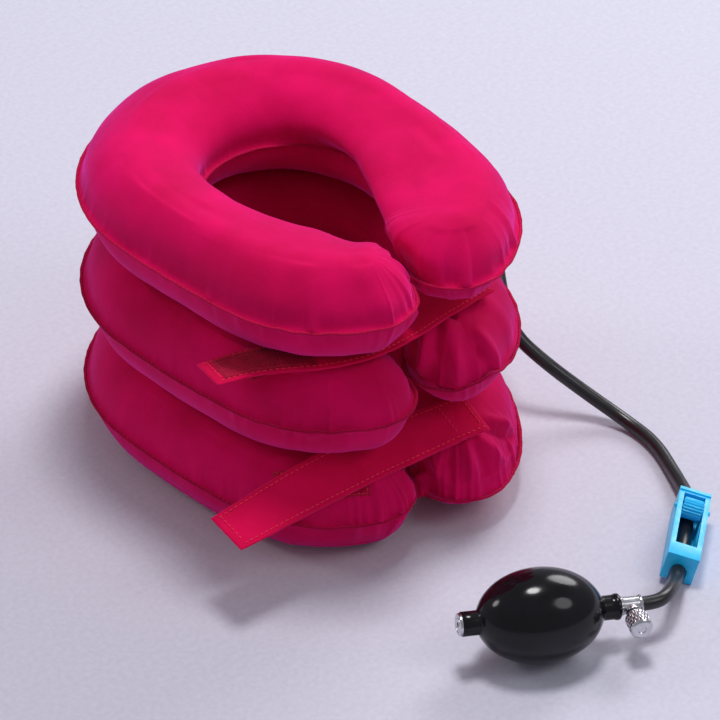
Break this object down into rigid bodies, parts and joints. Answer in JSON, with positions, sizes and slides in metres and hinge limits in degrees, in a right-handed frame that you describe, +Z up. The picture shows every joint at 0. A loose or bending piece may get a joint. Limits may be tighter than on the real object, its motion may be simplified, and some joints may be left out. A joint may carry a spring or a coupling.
{
  "type": "inflatable cervical traction collar",
  "caption": "Stacked C-shaped inflatable velour neck collar with fastening straps, a black hose, a blue roller clamp and a rubber hand bulb with a release valve.",
  "frame": {"origin": "on the surface the collar stands on, on the axis of the neck opening", "axes": "+Z up through the stacked tiers, +Y towards the nape, -Y towards the throat gap and the pump, +X the side where the hose leaves"},
  "size_m": [0.2637, 0.3922, 0.1808],
  "materials": {
    "velour": "flocked velour with a soft sheen",
    "welt": "folded velour edge",
    "cell_film": "soft vinyl film",
    "loop_tape": "brushed loop pile",
    "hook_tape": "stiff hook pile",
    "hose_rubber": "satin black rubber",
    "bulb_rubber": "polished black rubber",
    "clamp_plastic": "moulded gloss",
    "bright_metal": "bright nickel plating",
    "seal_rubber": "matt",
    "ball_steel": "polished"
  },
  "bodies": {
    "collar": {"bottom_upper_panel": "velour", "bottom_lower_panel": "velour", "bottom_air_cell": "cell_film", "bottom_seam_welt": "welt", "middle_upper_panel": "velour", "middle_lower_panel": "velour", "middle_air_cell": "cell_film", "middle_seam_welt": "welt", "top_upper_panel": "velour", "top_lower_panel": "velour", "top_air_cell": "cell_film", "top_seam_welt": "welt", "lower_tier_join": "velour", "upper_tier_join": "velour", "lower_air_link": "cell_film", "upper_air_link": "cell_film", "inlet_port": "cell_film", "lower_strap_tab": "velour", "upper_strap_tab": "velour", "lower_loop_patch": "loop_tape", "upper_loop_patch": "loop_tape", "hose_collar_side": "hose_rubber", "hose_in_clamp": "hose_rubber", "hose_bulb_side": "hose_rubber", "clamp_body": "clamp_plastic", "rubber_bulb": "bulb_rubber", "inlet_valve_seat": "bright_metal", "release_valve_body": "bright_metal", "valve_seal_ring": "seal_rubber"},
    "lower_strap": {"lower_strap": "velour", "lower_hook_patch": "hook_tape"},
    "upper_strap": {"upper_strap": "velour", "upper_hook_patch": "hook_tape"},
    "roller_carriage": {"clamp_axle": "clamp_plastic"},
    "roller": {"clamp_roller": "clamp_plastic"},
    "release_stem": {"release_needle": "bright_metal"},
    "release_knob": {"release_knob": "bright_metal"},
    "inlet_ball": {"inlet_valve_ball": "ball_steel"},
    "outlet_ball": {"outlet_valve_ball": "ball_steel"}
  },
  "joints": [
    {"name": "lower_strap_swing", "type": "hinge", "parent": "collar", "child": "lower_strap", "pos_m": [0.031, -0.092, 0.06025], "axis": [0, 0, 1], "range_deg": [0, 55]},
    {"name": "upper_strap_swing", "type": "hinge", "parent": "collar", "child": "upper_strap", "pos_m": [0.046, -0.0745, 0.12155], "axis": [0, 0, 1], "range_deg": [0, 75]},
    {"name": "roller_travel", "type": "slide", "parent": "collar", "child": "roller_carriage", "axis": [-0.7772, -0.6078, -0.1626], "range_m": [0, 0.02024], "deforming": ["hose_in_clamp"]},
    {"name": "roller_spin", "type": "hinge", "parent": "roller_carriage", "child": "roller", "pos_m": [0.10062, -0.19366, 0.01722], "axis": [0.6286, -0.7391, -0.2419], "range_deg": [-5, 225]},
    {"name": "release_screw_travel", "type": "slide", "parent": "collar", "child": "release_stem", "axis": [-0.4226, -0.9063, 0], "range_m": [0, 0.00202]},
    {"name": "release_knob_turn", "type": "hinge", "parent": "release_stem", "child": "release_knob", "pos_m": [0.0179, -0.23494, 0.0214], "axis": [-0.4226, -0.9063, 0], "range_deg": [0, 720]},
    {"name": "inlet_ball_lift", "type": "slide", "parent": "collar", "child": "inlet_ball", "axis": [0.9041, -0.4216, -0.0698], "range_m": [0, 0.0012]},
    {"name": "outlet_ball_lift", "type": "slide", "parent": "collar", "child": "outlet_ball", "axis": [0.9041, -0.4216, -0.0698], "range_m": [0, 0.0012]}
  ],
  "couplings": [
    {"joint": "roller_spin", "follows": "roller_travel", "rad_per_m": 178.57},
    {"joint": "release_screw_travel", "follows": "release_knob_turn", "m_per_rad": 0.00015915}
  ]
}
